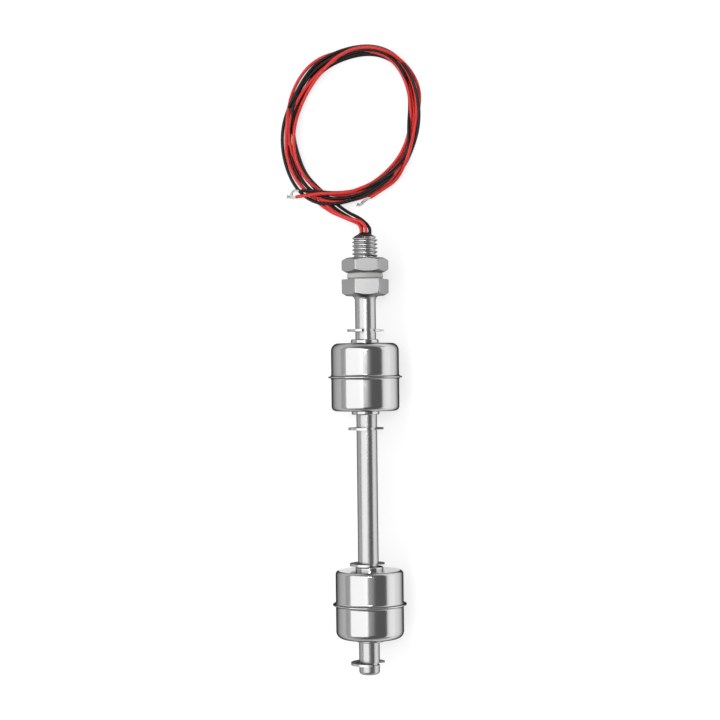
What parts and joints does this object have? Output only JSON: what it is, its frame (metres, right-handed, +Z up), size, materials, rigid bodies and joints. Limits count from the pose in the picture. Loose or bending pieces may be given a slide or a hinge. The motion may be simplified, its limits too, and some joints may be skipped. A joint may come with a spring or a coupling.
{
  "type": "float level switch",
  "caption": "Slim steel stem with sliding cylindrical floats between retaining clips, a threaded hexagon fitting with seal and locknut, and thin leads coiled beside it.",
  "frame": {"origin": "on the floor under the middle of the switch's box without its free leads, which is under the stem's centre line", "axes": "+Y along the stem towards the end where the leads leave, +Z up from the floor it lies on, +X across the stem"},
  "size_m": [0.0561, 0.247, 0.0287],
  "materials": {
    "stainless_steel": "turned and drawn stainless steel",
    "polished_steel": "smooth drawn stainless steel, satin polish",
    "seal_silicone": "smooth soft silicone, light grey",
    "potting_resin": "black cast resin",
    "red_insulation": "smooth insulation, half gloss",
    "black_insulation": "smooth insulation, half gloss",
    "tinned_copper": "tinned copper strand",
    "reed_glass": "clear greenish glass",
    "reed_alloy": "plated nickel iron",
    "shrink_sleeve": "thin shrunk sleeve",
    "ferrite": "dull dark grey ferrite",
    "holder_plastic": "natural moulded plastic"
  },
  "bodies": {
    "stem": {"end_plug": "stainless_steel", "lead_coil": "black_insulation", "lower_black_inner_wire": "black_insulation", "lower_black_lead": "black_insulation", "lower_black_tail": "black_insulation", "lower_black_tip": "tinned_copper", "lower_float_bottom_clip": "stainless_steel", "lower_float_top_clip": "stainless_steel", "lower_red_inner_wire": "red_insulation", "lower_red_lead": "red_insulation", "lower_red_tail": "red_insulation", "lower_red_tip": "tinned_copper", "lower_reed_bottom_blade": "reed_alloy", "lower_reed_glass": "reed_glass", "lower_reed_sleeve": "shrink_sleeve", "lower_reed_top_blade": "reed_alloy", "potting": "potting_resin", "seal_ring": "seal_silicone", "stem_tube": "stainless_steel", "threaded_fitting": "stainless_steel", "upper_black_inner_wire": "black_insulation", "upper_black_lead": "black_insulation", "upper_black_tail": "black_insulation", "upper_black_tip": "tinned_copper", "upper_float_bottom_clip": "stainless_steel", "upper_float_top_clip": "stainless_steel", "upper_red_inner_wire": "red_insulation", "upper_red_lead": "red_insulation", "upper_red_tail": "red_insulation", "upper_red_tip": "tinned_copper", "upper_reed_bottom_blade": "reed_alloy", "upper_reed_glass": "reed_glass", "upper_reed_sleeve": "shrink_sleeve", "upper_reed_top_blade": "reed_alloy"},
    "upper_float": {"upper_float_bore_tube": "polished_steel", "upper_float_bottom_shell": "polished_steel", "upper_float_magnet": "ferrite", "upper_float_magnet_holder": "holder_plastic", "upper_float_top_shell": "polished_steel"},
    "lower_float": {"lower_float_bore_tube": "polished_steel", "lower_float_bottom_shell": "polished_steel", "lower_float_magnet": "ferrite", "lower_float_magnet_holder": "holder_plastic", "lower_float_top_shell": "polished_steel"},
    "nut": {"locknut": "stainless_steel"}
  },
  "joints": [
    {"name": "upper_float_slide", "type": "slide", "parent": "stem", "child": "upper_float", "axis": [0, 1, 0], "range_m": [-0.005, 0.003]},
    {"name": "lower_float_slide", "type": "slide", "parent": "stem", "child": "lower_float", "axis": [0, 1, 0], "range_m": [-0.0079, 0.0003]},
    {"name": "locknut_turn", "type": "hinge", "parent": "stem", "child": "nut", "pos_m": [0, 0.073, 0.01435], "axis": [0, 1, 0], "continuous": true}
  ]
}
